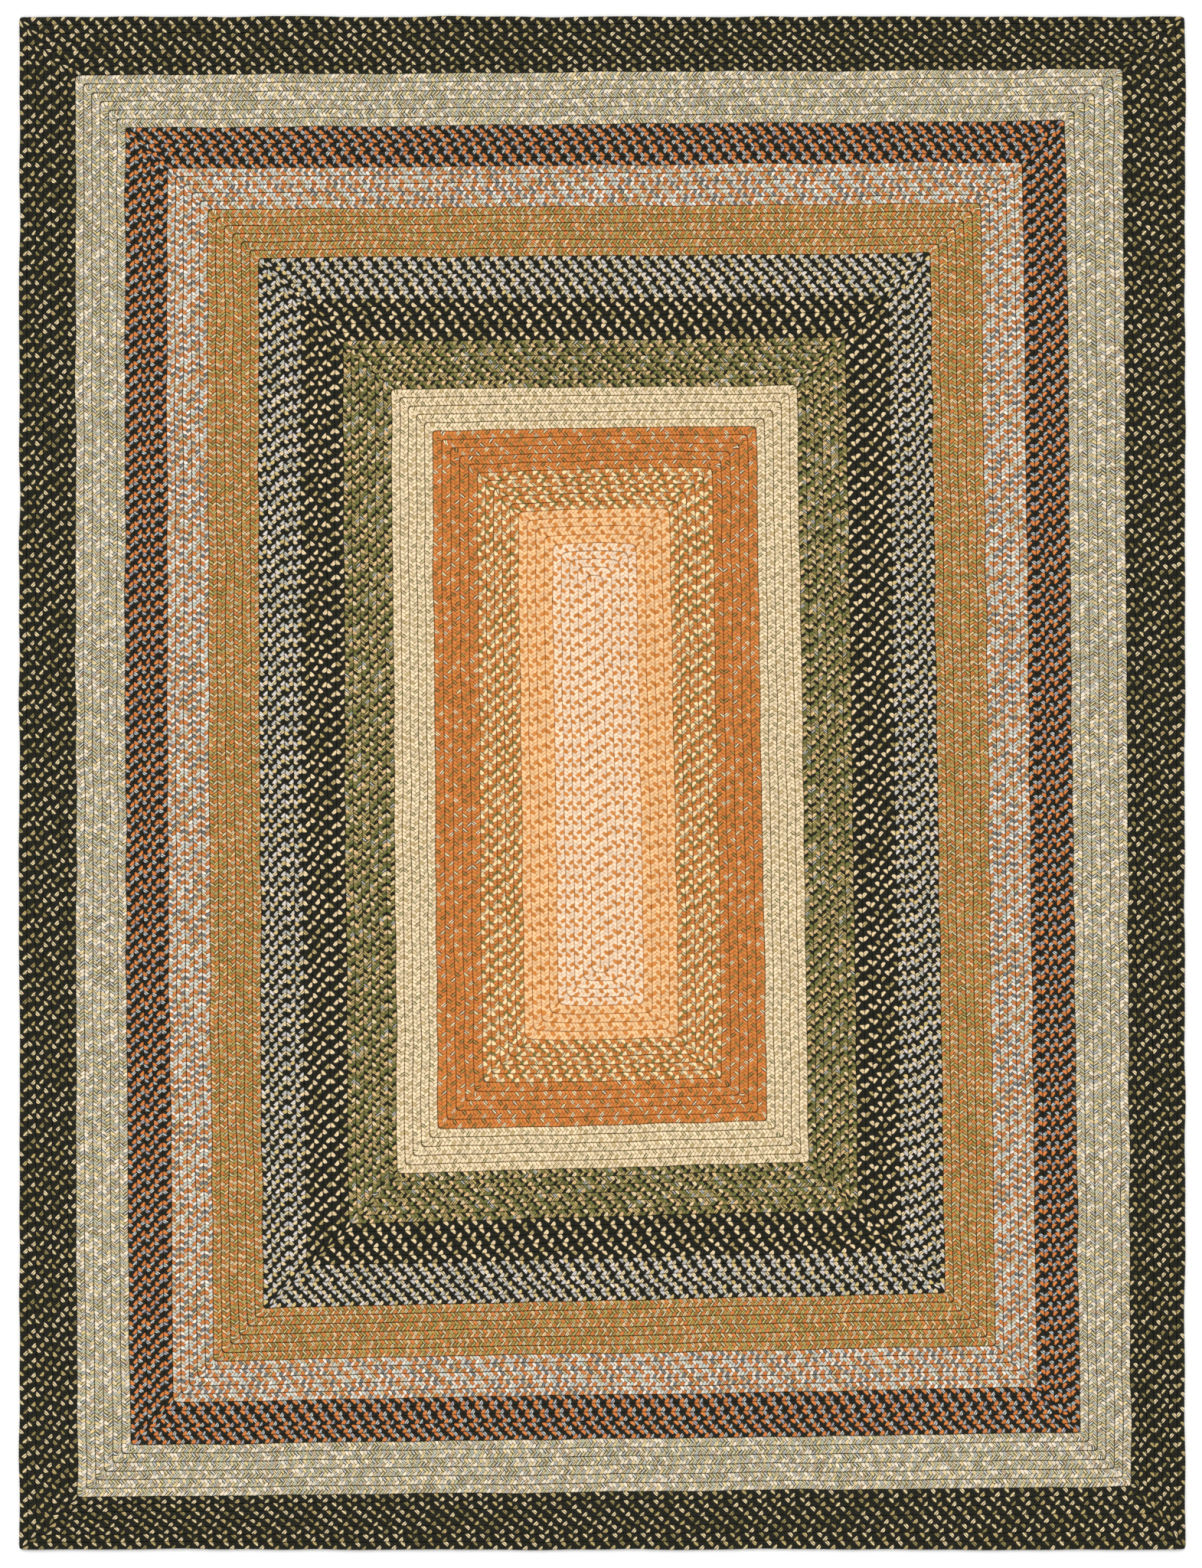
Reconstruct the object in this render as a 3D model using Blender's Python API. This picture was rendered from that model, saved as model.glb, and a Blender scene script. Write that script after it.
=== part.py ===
"""A large rectangular braided rug, laid flat.

Long lengths of round braid are sewn edge to edge, round after round, from a straight seam in the
middle out to the dark border. Each colour of braid fills a band of four to seven rounds and is one
solid: a closed rectangular frame, ribbed above and below, a rib for every round. The middle band
closes over the centre seam. The hand-sewn rounds lean a little, so each band's edges have their own
place and lean.

Metres, +Z up, +X to the right and +Y to the back. The origin is on the floor under the middle.
"""

from collections import namedtuple
from math import radians, sqrt

import bmesh
import bpy
from mathutils import Vector

MM = 0.001

# The braid, lying flat: its crests, the seam groove between two rounds, and its flat underside.
BRAID_THICK = 12.0 * MM
SEAM_TOP = 6.5 * MM
SEAM_BOTTOM = 3.5 * MM
CREST_IN = 0.28  # from the seam to the nearest crest, as a share of the braid's width
FLAT_IN = 0.25  # from the seam to the flat underside, as a share of the braid's width
BRAID_WIDE = 19.9 * MM  # on average; each band's own width follows from its edges

# The rug's outermost line and the shoulders of the braid above and below it.
EDGE_HEIGHT = 6.0 * MM
SHOULDER_IN = 2.6 * MM
SHOULDER_TOP = 9.8 * MM
SHOULDER_BOTTOM = 2.2 * MM

SEWN_GAP = 0.3 * MM  # between two bands
CORNER_RADIUS = 13.0 * MM
SHARP_ANGLE = radians(60)  # the walls at a seam stay crisp

# Each row is one colour of braid: how many rounds it makes, where its outer edge runs at the middle
# of each side, in mm from the rug's middle, and how that edge slants, in mm for each metre of side.
# left and right slant towards +X on the way to the back; back and front rise towards the back on
# the way to the right. swell is how far the middle of the left side bows out, in mm.
Band = namedtuple(
    "Band",
    "name rounds left right back front slant_left slant_right slant_back slant_front swell colour",
)
BANDS = (
    Band("dark_border_braid", 7, -1371, 1371, 1803, -1803, 0, 0, 0, 0, 0, (0.017, 0.017, 0.012)),
    Band("pale_heather_braid", 6, -1236, 1235, 1672, -1667, -1, -6, 6, 10, 2, (0.55, 0.52, 0.41)),
    Band("black_orange_braid", 5, -1115, 1106, 1549, -1542, -4, -11, 8, 13, 5, (0.23, 0.12, 0.08)),
    Band("orange_white_braid", 5, -1016, 1006, 1453, -1439, -5, -12, 8, 17, 5, (0.60, 0.34, 0.20)),
    Band("gold_braid", 6, -920, 908, 1356, -1341, -5, -13, 8, 19, 4, (0.45, 0.25, 0.07)),
    Band("black_cream_braid", 5, -802, 789, 1240, -1217, -5, -14, 7, 22, 3, (0.25, 0.25, 0.19)),
    Band("spotted_black_braid", 5, -702, 689, 1141, -1118, -6, -14, 7, 24, 3, (0.05, 0.05, 0.035)),
    Band("green_tan_braid", 6, -603, 588, 1043, -1020, -6, -15, 8, 26, 1, (0.20, 0.18, 0.08)),
    Band("cream_braid", 5, -489, 473, 931, -905, -8, -15, 10, 27, 0, (0.77, 0.66, 0.42)),
    Band("orange_braid", 5, -392, 375, 834, -804, -8, -16, 13, 25, 0, (0.55, 0.20, 0.045)),
    Band("orange_cream_braid", 5, -287, 271, 736, -699, -9, -17, 16, 18, 0, (0.60, 0.36, 0.16)),
    Band("peach_braid", 4, -190, 170, 641, -600, -13, -18, 16, 10, 0, (0.85, 0.52, 0.24)),
    Band("cream_centre_braid", 5, -110, 90, 561, -520, -14, -18, 12, 6, 0, (0.90, 0.66, 0.48)),
)
# The centre seam, where the innermost round is folded back on itself.
CENTRE_SEAM = Band("centre_seam", 0, -10, -10, 469, -425, -16, -16, 0, 0, 0, None)
EDGE_FIELDS = [field for field in Band._fields if field not in ("name", "rounds", "colour")]

SIDES = ("left", "back", "right", "front")  # in the order in which a round's stations pass them


def clear_scene():
    """Remove every object of the startup scene."""
    for old in list(bpy.data.objects):
        bpy.data.objects.remove(old, do_unlink=True)


def edge_between(outer, inner, share):
    """The seam that lies this share of the way in from one band's edge to the next one's."""
    mixed = {
        field: (1 - share) * getattr(outer, field) + share * getattr(inner, field)
        for field in EDGE_FIELDS
    }
    return Band("seam", 0, colour=None, **mixed)


def side_line(seam, side):
    """A seam's side as a point and a unit direction, which runs right or to the back."""
    place = getattr(seam, side) * MM
    slant = getattr(seam, "slant_" + side) * MM
    if side in ("left", "right"):
        return Vector((place, 0)), Vector((slant, 1)).normalized()
    return Vector((0, place)), Vector((1, slant)).normalized()


def crossing(seam, side, other):
    """Where two sides of a seam meet."""
    point, along = side_line(seam, side)
    other_point, other_along = side_line(seam, other)
    away = other_point - point
    reach = (away.x * other_along.y - away.y * other_along.x) / (
        along.x * other_along.y - along.y * other_along.x
    )
    return point + along * reach


def seam_stations(seam):
    """The points of one seam, clockwise from the front left corner: three for each rounded
    corner and one for the middle of each side. A seam with no width folds onto a line."""
    corners = [crossing(seam, side, SIDES[i - 1]) for i, side in enumerate(SIDES)]
    radius = min(CORNER_RADIUS, 0.5 * (seam.right - seam.left) * MM)
    points = []
    for i, corner in enumerate(corners):
        ahead = corners[(i + 1) % len(corners)] - corner
        middle = corner + 0.5 * ahead
        if SIDES[i] == "left":
            middle.x -= seam.swell * MM
        ahead = ahead.normalized()
        back = (corners[i - 1] - corner).normalized()
        points += [
            corner + back * radius,
            corner + (back + ahead) * radius * (1 - 1 / sqrt(2)),
            corner + ahead * radius,
            middle,
        ]
    return points


def section(band, is_outermost, is_middle):
    """A band's cross-section as (share of the way in, height) pairs, outwards underneath and
    back in over the top. The middle band's section starts and ends on the centre seam."""
    width = 1 / band.rounds
    gap = 0.5 * SEWN_GAP / BRAID_WIDE * width
    end = 1 if is_middle else 1 - gap
    if is_outermost:
        shoulder = SHOULDER_IN / BRAID_WIDE * width
        top = [(0, EDGE_HEIGHT), (shoulder, SHOULDER_TOP)]
        bottom = [(shoulder, SHOULDER_BOTTOM)]
    else:
        top = [(gap, SEAM_TOP)]
        bottom = [(gap, SEAM_BOTTOM)]
    for i in range(band.rounds):
        seam_in = min((i + 1) * width, end)
        top += [
            ((i + CREST_IN) * width, BRAID_THICK),
            ((i + 1 - CREST_IN) * width, BRAID_THICK),
            (seam_in, SEAM_TOP),
        ]
        bottom += [
            ((i + FLAT_IN) * width, 0),
            ((i + 1 - FLAT_IN) * width, 0),
            (seam_in, SEAM_BOTTOM),
        ]
    return bottom[::-1] + top


def braided_band(band, inner, is_outermost=False, is_middle=False):
    """One colour of braid as a closed solid: a flat grid whose one way follows the rounds and
    whose other way follows the section, closed where its edges come together."""
    outline = section(band, is_outermost, is_middle)
    seams = [seam_stations(edge_between(band, inner, share)) for share, _ in outline]
    stations = len(seams[0])
    rows = len(outline) - 1 if is_middle else len(outline)
    shape = bmesh.new()
    bmesh.ops.create_grid(shape, x_segments=stations, y_segments=rows, size=0.5)
    for vertex in shape.verts:
        station = round((vertex.co.x + 0.5) * stations) % stations
        row = round((vertex.co.y + 0.5) * rows) % len(outline)
        place = seams[row][station]
        vertex.co = (place.x, place.y, outline[row][1])
    bmesh.ops.remove_doubles(shape, verts=shape.verts, dist=0.01 * MM)
    bmesh.ops.recalc_face_normals(shape, faces=shape.faces)
    mesh = bpy.data.meshes.new(band.name)
    shape.to_mesh(mesh)
    shape.free()
    mesh.shade_smooth()
    mesh.set_sharp_from_angle(angle=SHARP_ANGLE)
    body = bpy.data.objects.new(band.name, mesh)
    bpy.context.scene.collection.objects.link(body)
    body.data.materials.append(yarn(band))
    return body


def yarn(band):
    """Matt synthetic yarn in the mean colour of the band's strands."""
    material = bpy.data.materials.new(band.name + "_yarn")
    material.use_nodes = True
    shader = material.node_tree.nodes["Principled BSDF"]
    shader.inputs["Base Color"].default_value = (*band.colour, 1)
    shader.inputs["Roughness"].default_value = 0.9
    shader.inputs["Metallic"].default_value = 0
    return material


def braided_rug():
    """Every band of the rug, from the border to the centre seam, under one empty."""
    rug = bpy.data.objects.new("braided_rug", None)
    bpy.context.scene.collection.objects.link(rug)
    edges = BANDS + (CENTRE_SEAM,)
    for i, band in enumerate(BANDS):
        body = braided_band(
            band, edges[i + 1], is_outermost=i == 0, is_middle=i == len(BANDS) - 1
        )
        body.parent = rug


clear_scene()
braided_rug()
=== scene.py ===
"""The looks of a large rectangular braided rug, laid flat under soft studio light.

The rug is sewn together from rounds of flat braid, edge to edge, and each colour of braid fills a
band of four to seven rounds. Every round is modelled as its own closed tube of braid: two columns
of plump, slanted lobes that meet in a zigzag down the braid's middle. A band's rounds are one
piece, which stands for the plain ribbed solid of the same name in the frame.

Metres, +Z up, +X to the right and +Y to the back, which is the top of the picture.
"""

import logging
import math
from dataclasses import dataclass, field
from enum import Enum

import bmesh
import bpy
import numpy as np
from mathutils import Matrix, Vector

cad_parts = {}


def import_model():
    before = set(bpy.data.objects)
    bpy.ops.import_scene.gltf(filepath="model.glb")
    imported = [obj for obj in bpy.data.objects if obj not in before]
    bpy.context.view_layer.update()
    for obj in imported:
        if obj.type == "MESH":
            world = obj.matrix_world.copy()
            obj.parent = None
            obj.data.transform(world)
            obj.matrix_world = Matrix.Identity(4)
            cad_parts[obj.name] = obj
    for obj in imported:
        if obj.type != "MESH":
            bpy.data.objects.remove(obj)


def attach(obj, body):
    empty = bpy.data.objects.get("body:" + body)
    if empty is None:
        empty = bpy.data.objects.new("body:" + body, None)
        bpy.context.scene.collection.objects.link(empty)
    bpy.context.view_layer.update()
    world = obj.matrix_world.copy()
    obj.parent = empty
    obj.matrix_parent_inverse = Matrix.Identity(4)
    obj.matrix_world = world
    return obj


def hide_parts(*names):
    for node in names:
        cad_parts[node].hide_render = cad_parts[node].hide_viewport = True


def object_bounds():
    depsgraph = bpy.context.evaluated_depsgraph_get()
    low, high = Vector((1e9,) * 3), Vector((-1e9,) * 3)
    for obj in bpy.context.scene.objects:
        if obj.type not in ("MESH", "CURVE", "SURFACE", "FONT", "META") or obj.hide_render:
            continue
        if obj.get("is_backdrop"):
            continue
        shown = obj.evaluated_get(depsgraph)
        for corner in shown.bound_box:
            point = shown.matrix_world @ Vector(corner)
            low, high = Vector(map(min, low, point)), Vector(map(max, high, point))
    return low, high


LOG = logging.getLogger("braided_rug")
MM = 0.001
TINY = 1e-6  # metres; points this close are one point, and no length is divided by less
PICTURE = (1570, 2048)  # pixels of the whole picture

STRANDS = 4  # they come up in turn in each column of lobes
INNER_AHEAD = 2  # strands by which the inner column of lobes is ahead of the outer one
PATTERN_MAP = "Braid"  # u counts lobes along a column, v runs from the seam to the lobes' tips
COLUMN_STEP = 2  # how much v rises from one column of lobes to the next
PACKED_MAP = "OFBake"  # the same strips cut up and stacked, without overlaps

Number = float | np.ndarray


# ---------------------------------------------------------------------------------------------
# Shader graphs
# ---------------------------------------------------------------------------------------------


class Wire:
    """One output socket of a node, which takes part in Python arithmetic."""

    def __init__(self, graph: "Graph", socket: bpy.types.NodeSocket) -> None:
        """Remember the graph to grow and the socket to read."""
        self.graph = graph
        self.socket = socket

    def __add__(self, other: "Wire | float") -> "Wire":
        """self + other."""
        return self.graph.maths("ADD", self, other)

    __radd__ = __add__

    def __sub__(self, other: "Wire | float") -> "Wire":
        """self - other."""
        return self.graph.maths("SUBTRACT", self, other)

    def __rsub__(self, other: float) -> "Wire":
        """other - self."""
        return self.graph.maths("SUBTRACT", other, self)

    def __mul__(self, other: "Wire | float") -> "Wire":
        """self * other."""
        return self.graph.maths("MULTIPLY", self, other)

    __rmul__ = __mul__

    def __truediv__(self, other: "Wire | float") -> "Wire":
        """self / other."""
        return self.graph.maths("DIVIDE", self, other)

    def __rtruediv__(self, other: float) -> "Wire":
        """other / self."""
        return self.graph.maths("DIVIDE", other, self)

    def __pow__(self, other: float) -> "Wire":
        """self ** other."""
        return self.graph.maths("POWER", self, other)

    def __mod__(self, other: float) -> "Wire":
        """self % other, never negative."""
        return self.graph.maths("FLOORED_MODULO", self, other)

    def __abs__(self) -> "Wire":
        """The size of self without its sign."""
        return self.graph.maths("ABSOLUTE", self)

    def floor(self) -> "Wire":
        """The whole number below self."""
        return self.graph.maths("FLOOR", self)

    def part(self, name: str) -> "Wire":
        """Another output of the same node."""
        return Wire(self.graph, self.socket.node.outputs[name])


class Graph:
    """The node tree of one material."""

    MIX_FIRST, MIX_SECOND, MIX_RESULT = 6, 7, 2  # the colour sockets of a Mix node

    def __init__(self, name: str) -> None:
        """Start a material whose only nodes are its shader and its output."""
        self.material = bpy.data.materials.new(name)
        self.material.use_nodes = True
        self.tree = self.material.node_tree
        self.shader = self.tree.nodes["Principled BSDF"]

    def node(self, kind: str, settings: dict, values: dict, output: str | int = 0) -> Wire:
        """Add a node.

        Args:
            kind: the node's type.
            settings: its own properties, set first; "stops" are a ramp's (place, colour) pairs
                and "interpolation" is how it goes from one to the next.
            values: a number, vector or Wire for each named or numbered input socket.
            output: the output socket to hand back.

        Returns:
            The wanted output.
        """
        made = self.tree.nodes.new(kind)
        for name, value in settings.items():
            if name == "stops":
                self._set_stops(made.color_ramp, value)
            elif name == "interpolation":
                made.color_ramp.interpolation = value
            else:
                setattr(made, name, value)
        for name, value in values.items():
            self.feed(made.inputs[name], value)
        return Wire(self, made.outputs[output])

    @staticmethod
    def _set_stops(ramp: bpy.types.ColorRamp, stops: list[tuple[float, tuple]]) -> None:
        """Give a colour ramp its stops.

        Args:
            ramp: the ramp, new from its node.
            stops: a place of 0 to 1 and a colour for each stop, in rising order.
        """
        while len(ramp.elements) < len(stops):
            ramp.elements.new(1.0)
        for element, (place, colour) in zip(ramp.elements, stops):
            element.position = place
            element.color = (*colour, 1.0)

    def feed(self, socket: bpy.types.NodeSocket, value: "Wire | float | tuple") -> None:
        """Link a Wire to a socket, or set the socket's own value.

        Args:
            socket: the input socket.
            value: what it reads.
        """
        if isinstance(value, Wire):
            self.tree.links.new(value.socket, socket)
        else:
            socket.default_value = value

    def maths(self, operation: str, *values: "Wire | float") -> Wire:
        """A Math node on one to three numbers."""
        return self.node("ShaderNodeMath", {"operation": operation}, dict(enumerate(values)))

    def vector(self, x: "Wire | float", y: "Wire | float", z: "Wire | float") -> Wire:
        """Three numbers as one vector."""
        return self.node("ShaderNodeCombineXYZ", {}, {"X": x, "Y": y, "Z": z})

    def step_between(self, value: Wire, low: float, high: float) -> Wire:
        """0 below low, 1 above high, and a smooth rise between them."""
        return self.node(
            "ShaderNodeMapRange",
            {"interpolation_type": "SMOOTHSTEP"},
            {"Value": value, "From Min": low, "From Max": high},
        )

    def mix(self, share: "Wire | float", first: "Wire | tuple", second: "Wire | tuple") -> Wire:
        """Two colours mixed, with this share of the second."""
        values = {"Factor": share, self.MIX_FIRST: first, self.MIX_SECOND: second}
        return self.node("ShaderNodeMix", {"data_type": "RGBA"}, values, self.MIX_RESULT)

    def scaled(self, colour: Wire, by: Wire) -> Wire:
        """A colour made lighter or darker."""
        settings = {"operation": "SCALE"}
        return self.node("ShaderNodeVectorMath", settings, {0: colour, "Scale": by})


def linear(colour: tuple[int, int, int]) -> tuple[float, ...]:
    """A screen colour of 0 to 255 as the linear numbers of a shader, by the sRGB curve."""
    shares = (value / 255 for value in colour)
    return tuple(s / 12.92 if s <= 0.04045 else ((s + 0.055) / 1.055) ** 2.4 for s in shares)


# ---------------------------------------------------------------------------------------------
# Yarns and braids
# ---------------------------------------------------------------------------------------------


class Yarn(Enum):
    """The dyed yarns that the strands are made of, as screen colours."""

    BLACK = (37, 37, 29)
    DARK_OLIVE = (80, 74, 44)
    OLIVE = (128, 118, 66)
    MOSS = (110, 114, 62)
    KHAKI = (160, 144, 92)
    SLATE = (82, 92, 98)
    GREY = (148, 146, 138)
    LILAC = (186, 176, 180)
    SILVER = (206, 206, 198)
    MINT = (206, 216, 198)
    BLUSH = (232, 198, 172)
    WHITE = (240, 232, 216)
    CREAM = (244, 221, 182)
    PALE_CREAM = (241, 214, 183)
    BUTTER = (242, 212, 160)
    TAN = (202, 176, 124)
    STRAW = (216, 190, 118)
    GOLD = (196, 146, 72)
    ORANGE = (206, 129, 58)
    RUST = (210, 119, 68)
    PEACH = (240, 195, 143)


@dataclass(frozen=True)
class Strand:
    """One strand of a braid: what share of its plies each yarn makes, and how wide it lies."""

    plies: tuple[tuple[Yarn, float], ...]
    width: float = 1.0


def plain(*yarns: Yarn, width: float = 1.0) -> Strand:
    """A strand whose plies are of these yarns in equal shares."""
    return Strand(tuple((yarn, 1 / len(yarns)) for yarn in yarns), width)


def striped(first: dict[Yarn, float], second: dict[Yarn, float], width: float = 1.0) -> Strand:
    """A strand whose plies take turns: one of the first yarns, then one of the second.

    Args:
        first: the parts of each yarn in one half of the plies.
        second: the same for the other half.
        width: how wide the strand lies.

    Returns:
        The strand.
    """
    plies = []
    for half in (first, second):
        whole = 2 * sum(half.values())
        plies += [(yarn, parts / whole) for yarn, parts in half.items()]
    return Strand(tuple(plies), width)


@dataclass(frozen=True)
class BraidFinish:
    """The look of one colour of braid.

    The plies of a strand show as stripes along its lobes.
    """

    strands: tuple[Strand, Strand, Strand, Strand]
    shadow: tuple[int, int, int]
    shadow_depth: float = 0.85
    crease_shade: float = 0.1  # how dark the painted shade in the lines between the plies is, as a share of the shadow
    fullness: float = 2.8  # the higher, the squarer the ends of the lobes
    seam: float = 1.0  # below 1, the lobes of two rounds close up over the seam between them

    PLIES = 3
    PLY_SLANT = 0.52  # lobes; plies lean this much more than the lobe they lie in
    DRAW = 0.5  # another number here draws other yarns for the plies
    PICK_INSET = 0.001  # keeps a pick off the edges of its strand's quarter of the ramp
    FIBRE_SCALE = (9.0, 2.5, 3.7)  # along the braid, across a column and from column to column
    FIBRE_DETAIL = 2.0
    DYE_SPREAD = 0.24  # how much lighter one lobe may be than another
    FIBRE_SPREAD = 0.36  # the same for one fibre and another
    DARKEST = 0.7  # of the yarn's colour
    SIDE_FULLNESS = 2.2  # the same as fullness, for a lobe's long sides
    RIM_RANGE = (0.24, 1.1)  # where the painted shade on a lobe's rim starts and where it is darkest
    CREASE_RANGE = (0.3, 0.5)  # the same for a line between plies, in plies from their middle
    SEAM_SHADOW = 0.18  # half widths of braid, on each side of a seam
    ROUGHNESS = 0.8
    SHADED_ROUGHNESS = 0.15  # added in the shadows between lobes
    GLOSS = 0.1
    RELIEF = 1.5 * MM
    BUMP = 0.6
    RIM_DEPTH = 0.5  # of the relief
    FIBRE_HEIGHT = 0.1
    CREASE_DEPTH = 0.12

    def stops(self) -> list[tuple[float, tuple[float, ...]]]:
        """The chart of strands as the stops of one stepped ramp, a quarter for each strand.

        Returns:
            Where each yarn starts on the ramp, and its colour.
        """
        stops = []
        for i, strand in enumerate(self.strands):
            place = i / STRANDS
            for yarn, share in strand.plies:
                stops.append((place, linear(yarn.value)))
                place += share / STRANDS
        return stops

    def material(self, name: str) -> bpy.types.Material:
        """The yarn's material, drawn on the piece's own pattern map.

        Args:
            name: the material's name.

        Returns:
            The new material.
        """
        g = Graph(name)
        at = g.node("ShaderNodeUVMap", {"uv_map": PATTERN_MAP}, {})
        at = g.node("ShaderNodeSeparateXYZ", {}, {"Vector": at})
        along, v = at.part("X"), at.part("Y")
        column = (v / COLUMN_STEP).floor()
        inner = column % 2
        reach = v - column * COLUMN_STEP  # 0 at the seam
        step = along + 0.5 - inner * 0.5
        lobe = step.floor()
        side = step - lobe  # 0 to 1 over the width of a lobe

        # Which strand is on top, and which yarn its ply is: the strand's two halves take turns.
        strip = (side + (0.5 - reach) * self.PLY_SLANT) * self.PLIES
        ply = strip.floor()
        own = g.node("ShaderNodeTexWhiteNoise", {}, {"Vector": g.vector(lobe, column, self.DRAW)})
        tone = g.node("ShaderNodeSeparateColor", {}, {"Color": own.part("Color")})
        pick = (own + (ply % 2) * 0.5) % 1
        strand = (lobe + inner * INNER_AHEAD) % STRANDS
        yarn = g.node(
            "ShaderNodeValToRGB",
            {"interpolation": "CONSTANT", "stops": self.stops()},
            {"Fac": (strand + pick * (1 - 2 * self.PICK_INSET) + self.PICK_INSET) / STRANDS},
        )

        # Fine fibres run along the lobe, and each lobe is dyed a little differently.
        fine = [part * scale for part, scale in zip((along, reach, column), self.FIBRE_SCALE)]
        noise = {"Vector": g.vector(*fine), "Scale": 1.0, "Detail": self.FIBRE_DETAIL}
        fibre = g.node("ShaderNodeTexNoise", {}, noise)
        dye = tone.part("Green") * self.DYE_SPREAD
        yarn = g.scaled(yarn, dye + fibre * self.FIBRE_SPREAD + self.DARKEST)

        # Lobes are plump, and end in a point where those of the other column cross their tips.
        skew = BRAID.lean * BRAID.zigzag / BRAID.lobe
        ahead = (side - skew) % 1
        point = g.maths("MINIMUM", ahead / (0.5 - 2 * skew), (1 - ahead) / (0.5 + 2 * skew))
        tip = 1 - BRAID.zigzag + point * (2 * BRAID.zigzag)
        end = abs(reach / tip * (1 + self.seam) - self.seam)
        rim = abs(side * 2 - 1) ** self.SIDE_FULLNESS + end**self.fullness
        # The lines between the plies are sunk in the bump, and painted shade darkens them too.
        groove = abs(strip % 1 - 0.5)
        crease_shade = g.step_between(groove, *self.CREASE_RANGE) * self.crease_shade

        # The shadows lie around the lobes, between the plies and, darkest, along the seams.
        shade = g.maths("MAXIMUM", g.step_between(rim, *self.RIM_RANGE) ** 2, crease_shade)
        shade = g.maths("MAXIMUM", shade, 1 - g.step_between(reach, 0.0, self.SEAM_SHADOW))
        colour = g.mix(shade * self.shadow_depth, yarn, (*linear(self.shadow), 1.0))
        height = 1 - rim * self.RIM_DEPTH + fibre * self.FIBRE_HEIGHT - groove * self.CREASE_DEPTH
        bump = {"Height": height, "Distance": self.RELIEF, "Strength": self.BUMP}
        sockets = g.shader.inputs
        g.feed(sockets["Base Color"], colour)
        g.feed(sockets["Roughness"], self.ROUGHNESS + shade * self.SHADED_ROUGHNESS)
        g.feed(sockets["Specular IOR Level"], self.GLOSS)
        g.feed(sockets["Normal"], g.node("ShaderNodeBump", {}, bump))
        return g.material


# ---------------------------------------------------------------------------------------------
# Outlines of the rounds
# ---------------------------------------------------------------------------------------------


# The sides that meet at each corner, counter-clockwise from the back left.
CORNER_SIDES = (("left", "back"), ("left", "front"), ("right", "front"), ("right", "back"))


@dataclass(frozen=True)
class Outline:
    """A closed seam: where each side runs at its middle, in mm from the rug's middle, and how it
    slants, in mm for each metre. left and right slant towards +X on the way to the back; back and
    front rise towards the back on the way to the right. swell is how far the left side bows out,
    arch how far both short sides do, and corner how far before a corner the seam starts to turn.
    """

    left: Number
    right: Number
    back: Number
    front: Number
    slant_left: Number = 0
    slant_right: Number = 0
    slant_back: Number = 0
    slant_front: Number = 0
    swell: Number = 0
    arch: Number = 0
    corner: Number = 9

    def mixed(self, inner: "Outline", share: Number) -> "Outline":
        """The seam that lies this share of the way in to another one.

        Args:
            inner: the other seam.
            share: 0 for this seam and 1 for the other; an array gives a seam for each number.

        Returns:
            The seam between them.
        """
        names = self.__dataclass_fields__
        mixed = {n: (1 - share) * getattr(self, n) + share * getattr(inner, n) for n in names}
        return Outline(**mixed)

    def corners(self) -> np.ndarray:
        """The points where the sides would cross, counter-clockwise from the back left.

        Returns:
            X and Y in metres, one row for each corner.
        """
        points = []
        for side, end in CORNER_SIDES:
            place, slant = getattr(self, side) * MM, getattr(self, "slant_" + side) * MM
            level, rise = getattr(self, end) * MM, getattr(self, "slant_" + end) * MM
            x = (place + slant * level) / (1 - slant * rise)
            points.append(np.stack(np.broadcast_arrays(x, level + rise * x), -1))
        return np.array(points)

    def bows(self) -> np.ndarray:
        """How far each side bows out in its middle, in metres: left, front, right and back."""
        zero = self.swell * 0  # one for each number in swell
        return np.array([self.swell, self.arch + zero, zero, self.arch + zero]) * MM


OUTWARDS = np.array([(-1, 0), (0, -1), (1, 0), (0, 1)])  # on the left, front, right and back


@dataclass(frozen=True)
class Wander:
    """The small unevenness of handwork, as a sum of long soft waves over the whole rug."""

    seed: int = 11
    waves: int = 14
    shortest: float = 0.12  # metres
    longest: float = 1.1
    reach: float = 0.45 * MM  # of one wave

    def shift(self, points: np.ndarray) -> np.ndarray:
        """How far each point strays.

        Args:
            points: places on the rug, one row each.

        Returns:
            The shift of each point in X and Y.
        """
        draw = np.random.default_rng(self.seed)
        stray = np.zeros_like(points)
        for _ in range(self.waves):
            heading, lag, turn = draw.uniform(0, 2 * math.pi, 3)
            length = self.shortest * (self.longest / self.shortest) ** draw.uniform()
            ahead = points @ (math.cos(heading), math.sin(heading))
            swing = np.sin(ahead * 2 * math.pi / length + lag)
            stray += self.reach * swing[:, None] * (math.cos(turn), math.sin(turn))
        return stray


# ---------------------------------------------------------------------------------------------
# The braid
# ---------------------------------------------------------------------------------------------


@dataclass(frozen=True)
class SectionLine:
    """A line that runs along the braid, where its section bends.

    Each lobe has two stations, one on its ridge and one in the dip beside it. span is how many
    stations share one point of the line.
    """

    across: float  # -1 at the outer seam, 0 in the middle and 1 at the inner seam
    ridge: float  # mm
    dip: float  # mm
    unrolled: float  # mm from the outer seam, over the top and back underneath
    span: int = 1
    first: int = 0  # the station of the line's first point
    inner: bool = False  # its ridges are those of the inner column


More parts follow.
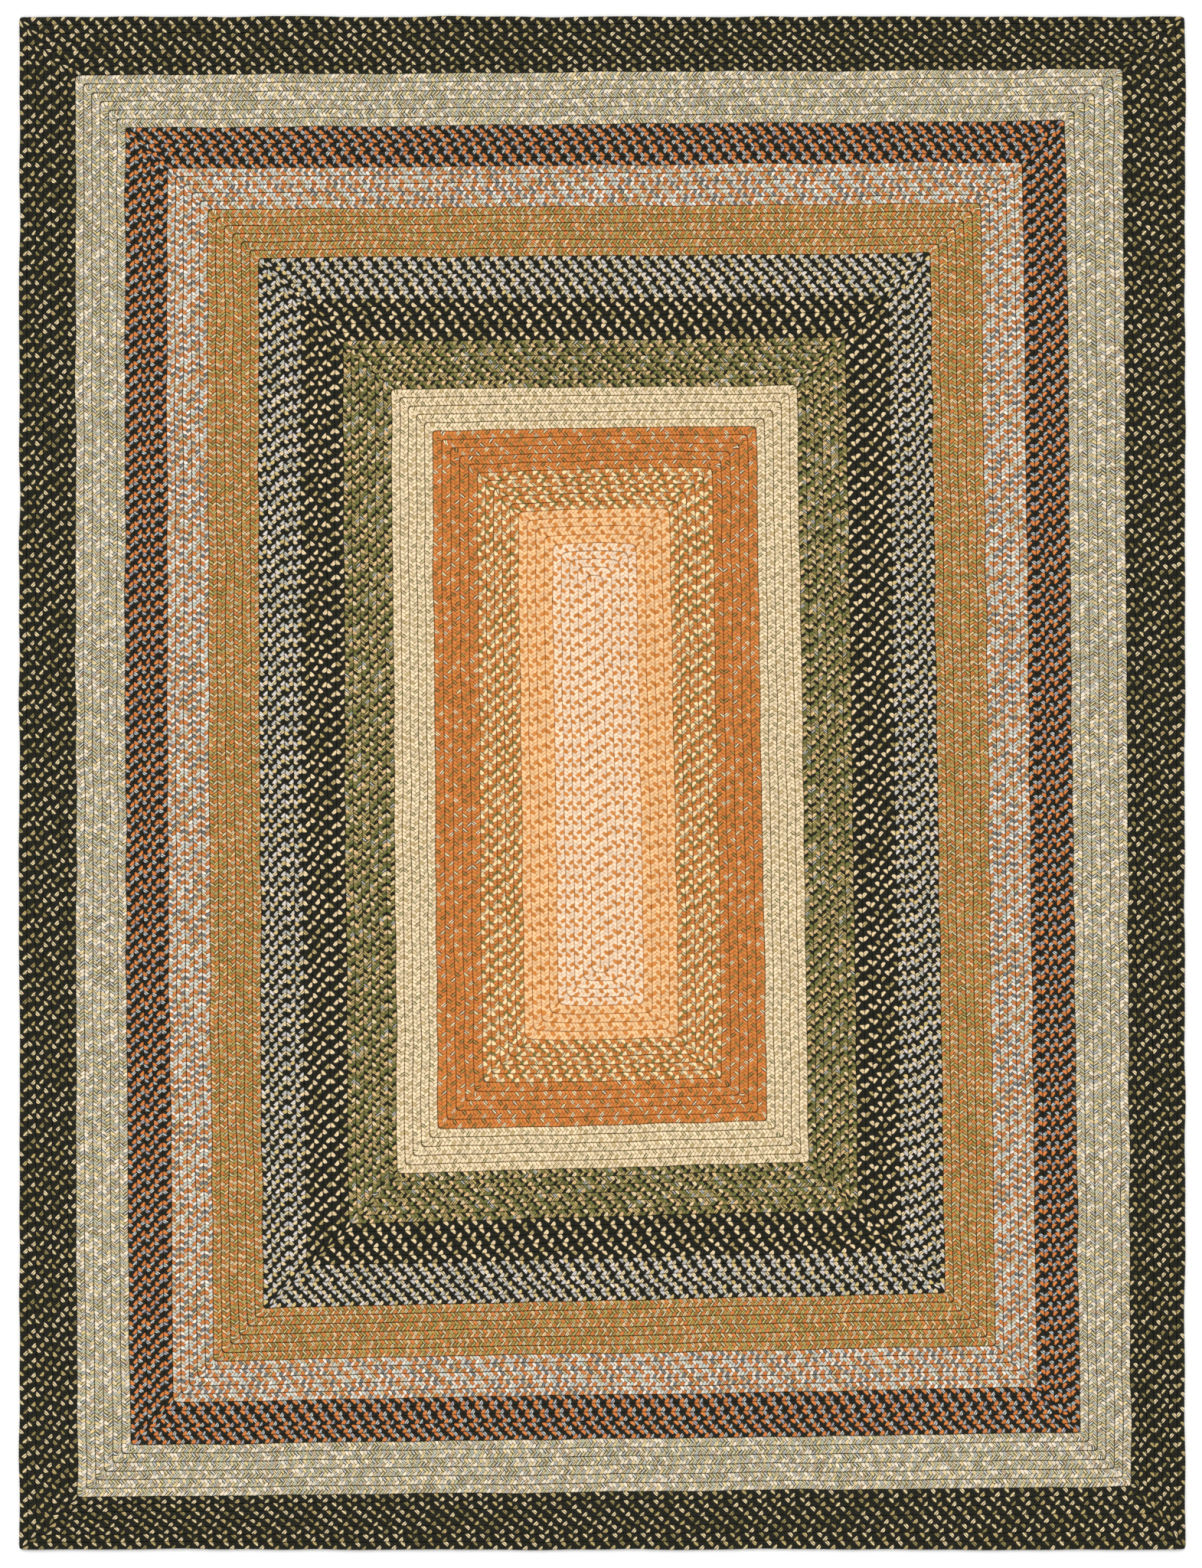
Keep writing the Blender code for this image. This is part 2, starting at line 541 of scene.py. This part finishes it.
@dataclass(frozen=True)
class Braid:
    """The flat braid that the whole rug is sewn from."""

    width: float = 19.9 * MM
    lobe: float = 8.6 * MM
    lean: float = 4.6 * MM  # how far a lobe's inner end runs ahead of the end at the seam
    zigzag: float = 0.18  # of half the braid's width
    fan: float = 2.5  # the lobes fan out this many half widths before a corner
    edge_height: float = 6.2 * MM  # of the rug's outermost line
    seam_angle: float = math.radians(75)  # the walls at a seam stay crisp
    ridge_jitter: float = 0.22 * MM
    place_jitter: float = 0.3 * MM
    across_jitter: float = 0.03  # of half the braid's width
    edge_notch: float = 0.06  # of half the width, how far the rug's edge draws in between lobes
    lines: tuple[SectionLine, ...] = (
        SectionLine(-1.0, 9.6, 9.6, 0.0, span=2, first=1),
        SectionLine(-0.72, 12.0, 10.3, 4.6),
        SectionLine(0.0, 9.8, 9.8, 12.8),
        SectionLine(0.72, 12.0, 10.3, 21.0, inner=True),
        SectionLine(1.0, 9.6, 9.6, 25.6, span=2),
        SectionLine(0.5, 0.0, 0.0, 27.2, span=16),
        SectionLine(0.0, 0.0, 0.0, 28.4, span=16),
        SectionLine(-0.5, 0.0, 0.0, 29.6, span=16),
    )
    unrolled: float = 31.2  # mm all the way round

    STATIONS = 2  # for each lobe
    REPEAT = 8  # a round holds a multiple of this many lobes


BRAID = Braid()


@dataclass
class Round:
    """One round of braid between two seams of its band."""

    outer: Outline
    inner: Outline
    number: int  # in the band, from the outside
    widths: tuple[float, ...]  # of the strands
    is_edge: bool  # whether the outer seam is the rug's edge
    draw: np.random.Generator  # the band's own, with a fixed seed
    braid: Braid = BRAID

    corners: np.ndarray = field(init=False)
    sides: np.ndarray = field(init=False)
    lobes: int = field(init=False)  # in each column
    start: float = field(init=False)  # metres along it to its first lobe

    def __post_init__(self) -> None:
        """Measure the round along its middle and see how many lobes fit."""
        self.corners = self.outer.mixed(self.inner, 0.5).corners()
        self.sides = np.linalg.norm(np.roll(self.corners, -1, 0) - self.corners, axis=1)
        repeats = round(self.length / self.braid.lobe / self.braid.REPEAT)
        self.lobes = repeats * self.braid.REPEAT
        self.start = self.draw.uniform(0, self.length)

    @property
    def length(self) -> float:
        """How long the round is along its middle."""
        return float(self.sides.sum())

    @property
    def stations(self) -> int:
        """How many stations the round has."""
        return self.lobes * self.braid.STATIONS

    def on_braid(self, across: np.ndarray, distance: np.ndarray) -> np.ndarray:
        """Places on the floor of points on the braid.

        Args:
            across: -1 at the outer seam to 1 at the inner one, for each point.
            distance: how far along the middle of the braid each point is.

        Returns:
            X and Y for each point.
        """
        ends = np.cumsum(self.sides)
        distance = distance % ends[-1]
        side = np.minimum(np.searchsorted(ends, distance, side="right"), len(ends) - 1)
        ahead = distance - ends[side] + self.sides[side]
        seam = self.outer.mixed(self.inner, (across + 1) / 2)
        corners = seam.corners()
        each = np.arange(len(across))
        corner = corners[side, each]
        run = np.roll(corners, -1, 0)[side, each] - corner
        long = np.linalg.norm(run, axis=1)
        run = run / np.maximum(long, TINY)[:, None]
        place = self.fanned(across, side, ahead, long)
        spot = corner + run * place[:, None] + self.corner_curve(seam, side, place, long)
        share = np.clip(place / np.maximum(long, TINY), 0, 1)
        bow = seam.bows()[side, each] * 4 * share * (1 - share)
        return spot + OUTWARDS[side] * bow[:, None]

    def fanned(
        self, across: np.ndarray, side: np.ndarray, ahead: np.ndarray, long: np.ndarray
    ) -> np.ndarray:
        """Where points lie along a side of their own seam.

        Near a corner the outer seam is longer than the inner one, so the stations fan out.

        Args:
            across: -1 at the outer seam to 1 at the inner one, for each point.
            side: which side each point is on.
            ahead: how far along that side it is, in the middle of the braid.
            long: how long that side of its own seam is.

        Returns:
            How far along that side of its own seam each point is.
        """
        half = self.braid.width / 2
        own = self.sides[side]
        fan = np.minimum(self.braid.fan * half, own / 2)
        shown = fan - across * half
        left = own - ahead
        middle = shown + (ahead - fan) * (long - 2 * shown) / np.maximum(own - 2 * fan, TINY)
        place = np.where(ahead < fan, ahead * shown / fan, middle)
        return np.where((left < fan) & (ahead >= fan), long - left * shown / fan, place)

    def corner_curve(
        self, seam: Outline, side: np.ndarray, place: np.ndarray, long: np.ndarray
    ) -> np.ndarray:
        """How far points move because their seam rounds each corner in a soft curve.

        Args:
            seam: the seam of each point.
            side: which side each point is on.
            place: how far along that side it is.
            long: how long that side is.

        Returns:
            The shift of each point in X and Y.
        """
        heading = np.roll(self.corners, -1, 0) - self.corners
        heading = heading / np.linalg.norm(heading, axis=1)[:, None]
        from_last = (heading - np.roll(heading, 1, 0))[side]
        to_next = (np.roll(heading, -1, 0) - heading)[side]
        turn = np.minimum(seam.corner * MM, 0.5 * (seam.right - seam.left) * MM)
        turn = np.maximum(turn, TINY)
        curve_in = np.maximum(turn - place, 0) ** 2 / (4 * turn)
        curve_out = np.maximum(turn - long + place, 0) ** 2 / (4 * turn)
        return from_last * curve_in[:, None] + to_next * curve_out[:, None]

    def strand_shifts(self, is_inner: bool) -> np.ndarray:
        """How far stations move because strands differ in width.

        Args:
            is_inner: whether the stations are those of the inner column.

        Returns:
            The shift in lobes of each station of one turn of all strands.
        """
        widths = np.roll(np.array(self.widths), -INNER_AHEAD if is_inner else 0)
        widths = widths * STRANDS / widths.sum()
        edges = np.concatenate([[0], np.cumsum(widths)])
        stations = np.empty(STRANDS * self.braid.STATIONS)
        if is_inner:
            stations[0::2] = edges[:-1]
            stations[1::2] = edges[:-1] + widths / 2
        else:
            stations[0::2] = edges[:-1] + widths / 2 - 0.5
            stations[1::2] = edges[1:] - 0.5
        return stations - np.arange(len(stations)) / self.braid.STATIONS

    def line_points(self, line: SectionLine, wander: Wander) -> np.ndarray:
        """The points of one line of the section, one for each station.

        Args:
            line: which line.
            wander: the rug's unevenness.

        Returns:
            X, Y and Z for each station, where stations that share a point repeat it.
        """
        braid, count = self.braid, self.stations
        station = self.shared(line, np.arange(count)) % count
        is_middle = line.across == 0
        outer, inner = self.strand_shifts(False), self.strand_shifts(True)
        shifts = (outer + inner) / 2 if is_middle else inner if line.across > 0 else outer
        is_ridge = (station + line.inner) % 2 == 0
        across = np.full(count, line.across)
        top = line.ridge > 0
        if is_middle and top:
            across = np.where(is_ridge, braid.zigzag, -braid.zigzag)
        if self.is_edge and line.across == -1:
            across = np.where(is_ridge, -1.0, braid.edge_notch - 1)
        place = station / braid.STATIONS + shifts[station % len(shifts)]
        distance = place * self.length / self.lobes
        if top:
            distance = distance + braid.lean * (1 - abs(line.across))
            stray = self.draw.normal(0, braid.place_jitter, count)[station]
            is_free = abs(line.across) < 1
            distance = distance + stray * is_free
            across = across + self.draw.normal(0, braid.across_jitter, count)[station] * is_free
        spot = self.on_braid(across, distance + self.start)
        spot = spot + wander.shift(spot)
        height = np.where(is_ridge, line.ridge, line.dip) * MM
        if self.is_edge and line.across == -1:
            height = np.full(count, braid.edge_height)
        if top:
            height = height + self.draw.normal(0, braid.ridge_jitter, count)[station]
        return np.column_stack([spot, height])

    def column(self, row: np.ndarray) -> np.ndarray:
        """Which column of lobes each face corner belongs to: 0 for the outer one, 1 for the inner.

        Args:
            row: the section line of each corner, four corners for each face.

        Returns:
            The column of each corner.
        """
        half = len(self.braid.lines) // 2
        lowest = row.reshape(-1, 4).min(1).repeat(4)
        return ((lowest >= half // 2) & (lowest < half + half // 2)).astype(int)

    def pattern_place(
        self, row: np.ndarray, station: np.ndarray, column: np.ndarray
    ) -> tuple[np.ndarray, np.ndarray]:
        """Where face corners lie on their column of lobes.

        Args:
            row: the section line of each corner.
            station: the station whose point each corner uses.
            column: 0 for the outer column of lobes and 1 for the inner one.

        Returns:
            How far the lobes' lean moves each corner along, in lobes, and its distance from the
            seam in half widths of the braid.
        """
        across = np.array([line.across for line in self.braid.lines])[row]
        is_top = np.array([line.ridge > 0 for line in self.braid.lines])[row]
        lean = np.where(is_top, 1 - abs(across), 0)
        is_middle = is_top & (across == 0)
        across = np.where(is_middle, np.where(station % 2 == 0, 1, -1) * self.braid.zigzag, across)
        reach = np.where(column == 1, 1 - across, 1 + across)
        return (lean - reach) * self.braid.lean / self.braid.lobe, reach

    def shared(self, line: SectionLine, station: np.ndarray) -> np.ndarray:
        """The station whose point each station uses on a line.

        Args:
            line: which line of the section.
            station: the stations.

        Returns:
            The station to use for each.
        """
        span = 1 if self.is_edge and line.across == -1 else line.span
        first = line.first if span > 1 else 0
        return (station - first) // span * span + first

    def mesh(self, wander: Wander, packing: "Packing") -> bpy.types.Mesh:
        """The round as a closed tube with its pattern map and packed map.

        Args:
            wander: the rug's unevenness.
            packing: where the round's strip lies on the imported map.

        Returns:
            The round's mesh.
        """
        # A flat grid of stations by section lines is rolled up into the tube.
        lines, stations = self.braid.lines, self.stations
        shape = bmesh.new()
        bmesh.ops.create_grid(shape, x_segments=stations, y_segments=len(lines), size=0.5)
        mesh = bpy.data.meshes.new("round")
        shape.to_mesh(mesh)
        shape.free()
        spots = np.empty(len(mesh.vertices) * 3)
        mesh.vertices.foreach_get("co", spots)
        spots = spots.reshape(-1, 3)
        station = np.rint((spots[:, 0] + 0.5) * stations).astype(int)
        row = np.rint((spots[:, 1] + 0.5) * len(lines)).astype(int)
        points = np.array([self.line_points(line, wander) for line in lines])
        mesh.vertices.foreach_set("co", points[row % len(lines), station % stations].ravel())

        corner = np.empty(len(mesh.loops), int)
        mesh.loops.foreach_get("vertex_index", corner)
        self.add_maps(mesh, row[corner], station[corner], packing)

        shape = bmesh.new()
        shape.from_mesh(mesh)
        bmesh.ops.remove_doubles(shape, verts=shape.verts, dist=TINY)
        bmesh.ops.recalc_face_normals(shape, faces=shape.faces)
        shape.to_mesh(mesh)
        shape.free()
        return mesh

    def add_maps(
        self, mesh: bpy.types.Mesh, row: np.ndarray, station: np.ndarray, packing: "Packing"
    ) -> None:
        """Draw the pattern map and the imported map, which are cut where the tube closes.

        Args:
            mesh: the round before its edges are joined.
            row: the section line of each face corner.
            station: the station of each face corner.
            packing: where the round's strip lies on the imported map.
        """
        lines = self.braid.lines
        shared = np.array([self.shared(line, np.arange(self.stations + 1)) for line in lines])
        used = shared[row % len(lines), station]
        ahead = used / self.braid.STATIONS
        column = self.column(row)
        shift, reach = self.pattern_place(row % len(lines), used, column)
        v = reach + COLUMN_STEP * (2 * self.number + column)
        self.fill_map(mesh, PATTERN_MAP, ahead + shift, v)
        first = station.reshape(-1, 4).min(1).repeat(4)
        unrolled = np.array([line.unrolled for line in lines] + [self.braid.unrolled])[row]
        self.fill_map(mesh, PACKED_MAP, *packing.place(self.number, first, ahead, unrolled * MM))

    @staticmethod
    def fill_map(mesh: bpy.types.Mesh, name: str, u: np.ndarray, v: np.ndarray) -> None:
        """Give a mesh a UV map with one place for each face corner."""
        layer = mesh.uv_layers.new(name=name, do_init=False)
        layer.uv.foreach_set("vector", np.column_stack([u, v]).ravel())


@dataclass
class Packing:
    """The strips of a band's rounds, cut to one length and stacked on a square map."""

    lengths: list[float]
    lobes: list[int]
    braid: Braid = BRAID
    margin: float = 2.2 * MM
    growth: float = 1.002  # the square's size from one try to the next

    high: float = field(init=False)
    side: float = field(init=False)
    cuts: list[int] = field(init=False)
    first_rows: list[int] = field(init=False)

    def __post_init__(self) -> None:
        """Find the smallest square that holds every strip."""
        self.high = self.braid.unrolled * MM + self.margin
        self.side = math.sqrt(sum(self.lengths) * self.high)
        while self.cut_strips() * self.high > self.side:
            self.side *= self.growth

    def cut_strips(self) -> int:
        """Cut each round's strip to the square's width, in whole spans of the foot's points.

        Returns:
            How many rows all strips take.
        """
        span = max(line.span for line in self.braid.lines)
        rows, self.cuts, self.first_rows = 0, [], []
        for length, lobes in zip(self.lengths, self.lobes):
            stations = lobes * self.braid.STATIONS
            fit = int((self.side - 2 * self.margin) * stations / length / span)
            self.cuts.append(max(fit, 1) * span)
            self.first_rows.append(rows)
            rows += math.ceil(stations / self.cuts[-1])
        return rows

    def place(
        self, number: int, first: np.ndarray, ahead: np.ndarray, unrolled: np.ndarray
    ) -> tuple[np.ndarray, np.ndarray]:
        """Places on the map.

        Args:
            number: which round of the band.
            first: the first station of each corner's face, which decides its row.
            ahead: how many lobes along the round each corner is.
            unrolled: each corner's distance across the unrolled braid.

        Returns:
            u and v of each corner.
        """
        row = first // self.cuts[number]
        ahead = ahead - row * self.cuts[number] / self.braid.STATIONS
        lobe = self.lengths[number] / self.lobes[number]
        u = (ahead * lobe + self.margin) / self.side
        v = ((row + self.first_rows[number]) * self.high + unrolled + self.margin / 2) / self.side
        return u, v


# ---------------------------------------------------------------------------------------------
# The rug
# ---------------------------------------------------------------------------------------------


@dataclass
class Band:
    """All rounds of one colour of braid, which is one piece of the rug."""

    name: str
    rounds: int
    outline: Outline
    finish: BraidFinish
    inner: Outline | None = None  # its inner seam, which the rug fills in

    def build(self, wander: Wander, is_outermost: bool) -> bpy.types.Object:
        """Model the band and dress it.

        Args:
            wander: the rug's unevenness.
            is_outermost: whether its outer seam is the rug's edge.

        Returns:
            The finished piece, riding in the frame.
        """
        draw = np.random.default_rng([len(self.name), self.rounds, int(is_outermost)])
        widths = tuple(strand.width for strand in self.finish.strands)
        rounds = [
            Round(
                self.outline.mixed(self.inner, i / self.rounds),
                self.outline.mixed(self.inner, (i + 1) / self.rounds),
                i,
                widths,
                is_outermost and i == 0,
                draw,
            )
            for i in range(self.rounds)
        ]
        packing = Packing([r.length for r in rounds], [r.lobes for r in rounds])
        shape = bmesh.new()
        for one in rounds:
            part = one.mesh(wander, packing)
            shape.from_mesh(part)
            bpy.data.meshes.remove(part)
        mesh = bpy.data.meshes.new(self.name + "_rounds")
        shape.to_mesh(mesh)
        shape.free()
        mesh.shade_smooth()
        mesh.set_sharp_from_angle(angle=BRAID.seam_angle)
        mesh.materials.append(self.finish.material(self.name + "_yarn"))
        piece = bpy.data.objects.new(self.name + "_rounds", mesh)
        bpy.context.scene.collection.objects.link(piece)
        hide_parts(self.name)
        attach(piece, "root")
        length = sum(r.length for r in rounds) / self.rounds
        self.rounds * BRAID.width
        triangles = sum(len(face.vertices) - 2 for face in mesh.polygons)
        LOG.info(
            "%s: %d rounds, %d lobes in their outer columns, %d triangles, mean round %.2f m",
            piece.name,
            self.rounds,
            sum(r.lobes for r in rounds),
            triangles,
            length,
        )
        return piece


BLACK = plain(Yarn.BLACK, width=0.9)
ORANGE = plain(Yarn.ORANGE, Yarn.RUST)
BANDS = [
    Band(
        "dark_border_braid",
        7,
        Outline(-1371, 1371, 1803, -1803),
        BraidFinish(
            (
                striped(
                    {Yarn.CREAM: 2, Yarn.TAN: 1, Yarn.KHAKI: 1},
                    {Yarn.OLIVE: 3, Yarn.DARK_OLIVE: 1},
                    1.2,
                ),
                *[BLACK] * 3,
            ),
            shadow=(20, 20, 16),
        ),
    ),
    Band(
        "pale_heather_braid",
        6,
        Outline(-1236, 1235, 1672, -1667, -1, -6, 6, 10, 2),
        BraidFinish(
            (
                striped({Yarn.WHITE: 1, Yarn.CREAM: 2}, {Yarn.CREAM: 1, Yarn.OLIVE: 2}),
                striped({Yarn.SILVER: 1, Yarn.WHITE: 1}, {Yarn.GREY: 1, Yarn.SLATE: 1}),
                striped({Yarn.CREAM: 2, Yarn.BLUSH: 1}, {Yarn.STRAW: 1, Yarn.OLIVE: 2}),
                striped({Yarn.WHITE: 1, Yarn.MINT: 1}, {Yarn.CREAM: 1, Yarn.KHAKI: 1}),
            ),
            shadow=(56, 52, 32),
            shadow_depth=1.0,
            crease_shade=0.6,
            fullness=4.0,
            seam=0.96,
        ),
    ),
    Band(
        "black_orange_braid",
        5,
        Outline(-1115, 1106, 1549, -1542, -4, -11, 8, 13, 5),
        BraidFinish(
            (
                plain(Yarn.ORANGE, Yarn.RUST, width=1.35),
                striped({Yarn.SILVER: 3, Yarn.LILAC: 1}, {Yarn.SLATE: 1}, 1.1),
                BLACK,
                BLACK,
            ),
            shadow=(28, 24, 20),
        ),
    ),
    Band(
        "orange_white_braid",
        5,
        Outline(-1016, 1006, 1453, -1439, -5, -12, 8, 17, 5),
        BraidFinish(
            (
                plain(Yarn.ORANGE, Yarn.RUST, width=1.25),
                striped({Yarn.WHITE: 3, Yarn.BLUSH: 1}, {Yarn.WHITE: 1, Yarn.SILVER: 1, Yarn.TAN: 1}),
                striped({Yarn.SILVER: 1, Yarn.GREY: 1}, {Yarn.MINT: 1, Yarn.SLATE: 1}, 0.95),
                striped({Yarn.WHITE: 2, Yarn.CREAM: 1}, {Yarn.BLUSH: 1, Yarn.GREY: 1, Yarn.OLIVE: 1}),
            ),
            shadow=(74, 56, 36),
            shadow_depth=1.0,
            crease_shade=0.5,
            fullness=3.4,
        ),
    ),
    Band(
        "gold_braid",
        6,
        Outline(-920, 908, 1356, -1341, -5, -13, 8, 19, 4),
        BraidFinish(
            (
                plain(Yarn.ORANGE, Yarn.RUST, width=1.2),
                striped({Yarn.CREAM: 2, Yarn.STRAW: 1}, {Yarn.OLIVE: 1, Yarn.MOSS: 1}, 0.95),
                striped({Yarn.ORANGE: 2, Yarn.GOLD: 1}, {Yarn.OLIVE: 3, Yarn.GOLD: 1}, 0.9),
                striped({Yarn.CREAM: 1, Yarn.STRAW: 1}, {Yarn.GOLD: 1, Yarn.MOSS: 2}, 0.95),
            ),
            shadow=(62, 46, 18),
            shadow_depth=1.0,
            crease_shade=0.4,
            fullness=3.4,
        ),
    ),
    Band(
        "black_cream_braid",
        5,
        Outline(-802, 789, 1240, -1217, -5, -14, 7, 22, 3),
        BraidFinish(
            (
                BLACK,
                striped({Yarn.SILVER: 2, Yarn.WHITE: 1}, {Yarn.GREY: 1, Yarn.LILAC: 2}, 1.3),
                striped({Yarn.CREAM: 3, Yarn.STRAW: 1}, {Yarn.OLIVE: 2, Yarn.TAN: 2}, 1.3),
                BLACK,
            ),
            shadow=(28, 27, 20),
            crease_shade=0.3,
        ),
    ),
    Band(
        "spotted_black_braid",
        5,
        Outline(-702, 689, 1141, -1118, -6, -14, 7, 24, 3),
        BraidFinish(
            (
                striped({Yarn.CREAM: 2, Yarn.TAN: 1}, {Yarn.TAN: 2, Yarn.OLIVE: 1}, 1.35),
                *[BLACK] * 3,
            ),
            shadow=(20, 20, 16),
        ),
    ),
    Band(
        "green_tan_braid",
        6,
        Outline(-603, 588, 1043, -1020, -6, -15, 8, 26, 1),
        BraidFinish(
            (
                striped({Yarn.BLACK: 1}, {Yarn.BLACK: 4, Yarn.SILVER: 1}, 0.95),
                striped({Yarn.PEACH: 2, Yarn.CREAM: 1, Yarn.TAN: 2}, {Yarn.TAN: 2, Yarn.OLIVE: 1}, 1.15),
                striped({Yarn.TAN: 1, Yarn.OLIVE: 2}, {Yarn.DARK_OLIVE: 1, Yarn.OLIVE: 1}),
                striped({Yarn.MOSS: 2, Yarn.STRAW: 1}, {Yarn.MOSS: 2, Yarn.DARK_OLIVE: 1}),
            ),
            shadow=(40, 37, 20),
            crease_shade=0.35,
            fullness=3.4,
        ),
    ),
    Band(
        "cream_braid",
        5,
        Outline(-489, 473, 931, -905, -8, -15, 10, 27, 0),
        BraidFinish(
            (
                plain(Yarn.CREAM, width=1.05),
                striped({Yarn.CREAM: 1}, {Yarn.CREAM: 3, Yarn.TAN: 1}),
                plain(Yarn.CREAM, width=1.05),
                striped({Yarn.CREAM: 2, Yarn.TAN: 1}, {Yarn.OLIVE: 1, Yarn.MOSS: 1, Yarn.TAN: 1}, 0.9),
            ),
            shadow=(98, 78, 42),
            shadow_depth=1.0,
            crease_shade=0.45,
            fullness=4.0,
        ),
    ),
    Band(
        "orange_braid",
        5,
        Outline(-392, 375, 834, -804, -8, -16, 13, 25, 0),
        BraidFinish(
            (
                ORANGE,
                plain(Yarn.ORANGE),
                ORANGE,
                striped({Yarn.CREAM: 1, Yarn.GOLD: 1}, {Yarn.OLIVE: 1, Yarn.DARK_OLIVE: 2}, 1.1),
            ),
            shadow=(100, 50, 20),
            fullness=4.0,
        ),
    ),
    Band(
        "orange_cream_braid",
        5,
        Outline(-287, 271, 736, -699, -9, -17, 16, 18, 0, 2),
        BraidFinish(
            (
                plain(Yarn.BUTTER, width=1.5),
                plain(Yarn.ORANGE, Yarn.RUST, width=0.9),
                plain(Yarn.ORANGE, width=0.8),
                striped({Yarn.CREAM: 1, Yarn.OLIVE: 1}, {Yarn.OLIVE: 1}, 0.85),
            ),
            shadow=(110, 70, 32),
        ),
    ),
    Band(
        "peach_braid",
        4,
        Outline(-190, 170, 641, -600, -13, -18, 16, 10, 0, 4, 12),
        BraidFinish(
            (
                plain(Yarn.PEACH),
                plain(Yarn.PEACH),
                plain(Yarn.PEACH),
                plain(Yarn.ORANGE, width=1.15),
            ),
            shadow=(176, 108, 50),
            shadow_depth=0.75,
            fullness=3.4,
        ),
    ),
    Band(
        "cream_centre_braid",
        5,
        Outline(-110, 90, 561, -520, -14, -18, 12, 6, 0, 4, 14),
        BraidFinish(
            (
                plain(Yarn.PALE_CREAM),
                plain(Yarn.PALE_CREAM),
                plain(Yarn.PALE_CREAM),
                plain(Yarn.ORANGE, width=1.15),
            ),
            shadow=(184, 130, 84),
            shadow_depth=0.75,
            fullness=3.4,
        ),
    ),
]
# The centre seam, where the innermost round is folded back on itself.
CENTRE_SEAM = Outline(-10, -10, 469, -425, -16, -16, 0, 0, 0, 0, 14)


@dataclass
class Rug:
    """The whole rug, from the border to the centre seam."""

    bands: list[Band]
    centre: Outline
    wander: Wander = Wander()

    def build(self) -> list[bpy.types.Object]:
        """Make every band, from the border inwards.

        Returns:
            The pieces, in that order.
        """
        inner = [band.outline for band in self.bands[1:]] + [self.centre]
        pieces = []
        for i, band in enumerate(self.bands):
            band.inner = inner[i]
            pieces.append(band.build(self.wander, i == 0))
        return pieces


# ---------------------------------------------------------------------------------------------
# The studio
# ---------------------------------------------------------------------------------------------


@dataclass
class Studio:
    """A white floor, soft light from above and a camera that looks straight down."""

    rug_top: float
    floor_size: float = 160.0
    floor_drop: float = 0.6 * MM
    floor_colour: tuple[int, int, int] = (246, 246, 245)
    floor_roughness: float = 0.9
    floor_gloss: float = 0.1
    sky: float = 0.66
    key_towards: tuple[float, float, float] = (0.15, -0.65, -1)
    key_strength: float = 1.5
    fill_towards: tuple[float, float, float] = (-0.15, 0.45, -1)
    fill_strength: float = 0.45
    softness: float = math.radians(35)
    camera_height: float = 12.0  # over the rug
    view_distance: float = 120.0
    sensor: float = 36.0  # mm
    millimetres_a_pixel: float = 1.80
    rug_in_picture: tuple[float, float] = (786.5, 1022.75)  # the rug's middle, in pixels

    def build(self) -> None:
        """Set the floor, the lights and the camera."""
        self.lay_floor()
        self.light()
        self.aim_camera()

    def lay_floor(self) -> None:
        """A plain floor just under the rug."""
        shape = bmesh.new()
        bmesh.ops.create_grid(shape, x_segments=1, y_segments=1, size=self.floor_size / 2)
        bmesh.ops.translate(shape, verts=shape.verts, vec=(0, 0, -self.floor_drop))
        mesh = bpy.data.meshes.new("studio_floor")
        shape.to_mesh(mesh)
        shape.free()
        graph = Graph("studio_floor_paint")
        graph.feed(graph.shader.inputs["Base Color"], (*linear(self.floor_colour), 1.0))
        graph.feed(graph.shader.inputs["Roughness"], self.floor_roughness)
        graph.feed(graph.shader.inputs["Specular IOR Level"], self.floor_gloss)
        mesh.materials.append(graph.material)
        floor = bpy.data.objects.new("studio_floor", mesh)
        bpy.context.scene.collection.objects.link(floor)
        floor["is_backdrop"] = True

    def light(self) -> None:
        """An even white sky, a soft key light from the back and a weaker one from the front."""
        world = bpy.data.worlds.new("studio_sky")
        world.use_nodes = True
        sky = world.node_tree.nodes["Background"]
        sky.inputs["Color"].default_value = (1.0, 1.0, 1.0, 1.0)
        sky.inputs["Strength"].default_value = self.sky
        bpy.context.scene.world = world
        for name, towards, strength in (
            ("key", self.key_towards, self.key_strength),
            ("fill", self.fill_towards, self.fill_strength),
        ):
            lamp = bpy.data.lights.new(name, "SUN")
            lamp.energy = strength
            lamp.angle = self.softness
            holder = bpy.data.objects.new(name, lamp)
            holder.rotation_euler = Vector(towards).to_track_quat("-Z", "Y").to_euler()
            bpy.context.scene.collection.objects.link(holder)
        bpy.context.scene.view_settings.view_transform = "Standard"

    def aim_camera(self) -> None:
        """A long lens straight above, with the rug where the picture has it."""
        across, down = PICTURE
        shown = down * self.millimetres_a_pixel * MM
        lens = bpy.data.cameras.new("camera")
        lens.sensor_width = self.sensor
        lens.lens = self.sensor * self.camera_height / shown
        lens.clip_end = self.view_distance
        x = (across / 2 - self.rug_in_picture[0]) * self.millimetres_a_pixel * MM
        y = (self.rug_in_picture[1] - down / 2) * self.millimetres_a_pixel * MM
        camera = bpy.data.objects.new("camera", lens)
        camera.location = (x, y, self.rug_top + self.camera_height)
        bpy.context.scene.collection.objects.link(camera)
        bpy.context.scene.camera = camera


def as_lists(box: tuple[Vector, Vector]) -> list[list[float]]:
    """A box's two corners as plain lists of numbers."""
    return [list(corner) for corner in box]


def main() -> None:
    """Load the frame, build the studio and the rug."""
    logging.basicConfig(level=logging.INFO, format="%(name)s: %(message)s")
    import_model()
    cad_box = as_lists(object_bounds())
    Studio(rug_top=cad_box[1][2]).build()
    Rug(BANDS, CENTRE_SEAM).build()


if __name__ == "__main__":
    main()
